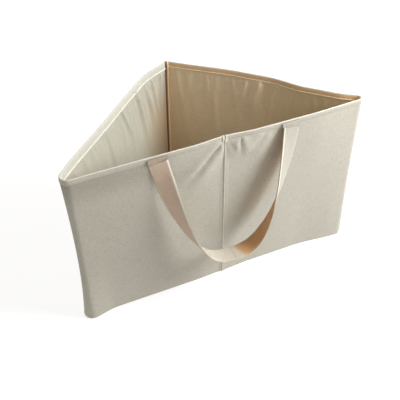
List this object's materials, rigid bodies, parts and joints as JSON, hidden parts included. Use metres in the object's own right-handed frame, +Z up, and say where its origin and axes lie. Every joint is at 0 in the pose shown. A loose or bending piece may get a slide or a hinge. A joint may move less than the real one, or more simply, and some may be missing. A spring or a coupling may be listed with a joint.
{
  "type": "folding triangular canvas carrier",
  "caption": "Free-standing carrier with board-stiffened canvas walls, a hemmed rim and a U-shaped strap; the long front wall folds at a middle seam so that the carrier lies flat.",
  "frame": {"origin": "middle of the whole object's box, strap included, on the floor", "axes": "+X along the long front wall, +Y from the front wall to the back corner, +Z up"},
  "size_m": [0.6404, 0.3884, 0.375],
  "materials": {
    "canvas": "unbleached plain-weave cotton canvas",
    "lining": "thin cream cotton lining",
    "hem": "folded and stitched canvas edge",
    "board": "plain pressed fibreboard",
    "strap": "folded canvas strap",
    "thread": "cotton thread and tape"
  },
  "bodies": {
    "front_left": {"front_left_cover": "canvas", "front_left_board": "board", "front_left_lining": "lining", "front_left_rim": "hem", "front_left_foot": "hem", "fold_lip_left": "canvas", "fold_tab_left": "thread", "strap_tail_left": "strap", "strap_stitching_left": "thread"},
    "front_right": {"front_right_cover": "canvas", "front_right_board": "board", "front_right_lining": "lining", "front_right_rim": "hem", "front_right_foot": "hem", "fold_lip_right": "canvas", "fold_tab_right": "thread", "strap_tail_right": "strap", "strap_stitching_right": "thread"},
    "left_wall": {"left_wall_cover": "canvas", "left_wall_board": "board", "left_wall_lining": "lining", "left_wall_rim": "hem", "left_wall_foot": "hem", "back_edge_left": "hem", "base_left_canvas": "canvas", "base_left_lining": "lining"},
    "right_wall": {"right_wall_cover": "canvas", "right_wall_board": "board", "right_wall_lining": "lining", "right_wall_rim": "hem", "right_wall_foot": "hem", "back_edge_right": "hem", "wall_tab": "thread", "base_right_canvas": "canvas", "base_right_lining": "lining"},
    "handle_left": {"strap_left": "strap"},
    "handle_right": {"strap_right": "strap"}
  },
  "joints": [
    {"name": "front_fold", "type": "hinge", "parent": "front_left", "child": "front_right", "pos_m": [0, -0.13203, 0], "axis": [0, 0, -1], "range_deg": [0, 180], "deforming": ["base_left_canvas", "base_left_lining", "base_right_canvas", "base_right_lining", "strap_left", "strap_right"]},
    {"name": "left_corner", "type": "hinge", "parent": "front_left", "child": "left_wall", "pos_m": [-0.30082, -0.11783, 0], "axis": [0, 0, -1], "range_deg": [0, 45]},
    {"name": "right_corner", "type": "hinge", "parent": "front_right", "child": "right_wall", "pos_m": [0.30082, -0.11783, 0], "axis": [0, 0, 1], "range_deg": [0, 45]},
    {"name": "strap_swing_left", "type": "hinge", "parent": "front_left", "child": "handle_left", "pos_m": [0, -0.12823, 0.362], "axis": [-1, 0, 0], "range_deg": [0, 170]},
    {"name": "strap_swing_right", "type": "hinge", "parent": "front_right", "child": "handle_right", "pos_m": [0, -0.12823, 0.362], "axis": [-1, 0, 0], "range_deg": [0, 170]}
  ],
  "couplings": [
    {"joint": "left_corner", "follows": "front_fold", "ratio": 0.25},
    {"joint": "right_corner", "follows": "front_fold", "ratio": 0.25},
    {"joint": "strap_swing_right", "follows": "strap_swing_left", "ratio": 1}
  ]
}
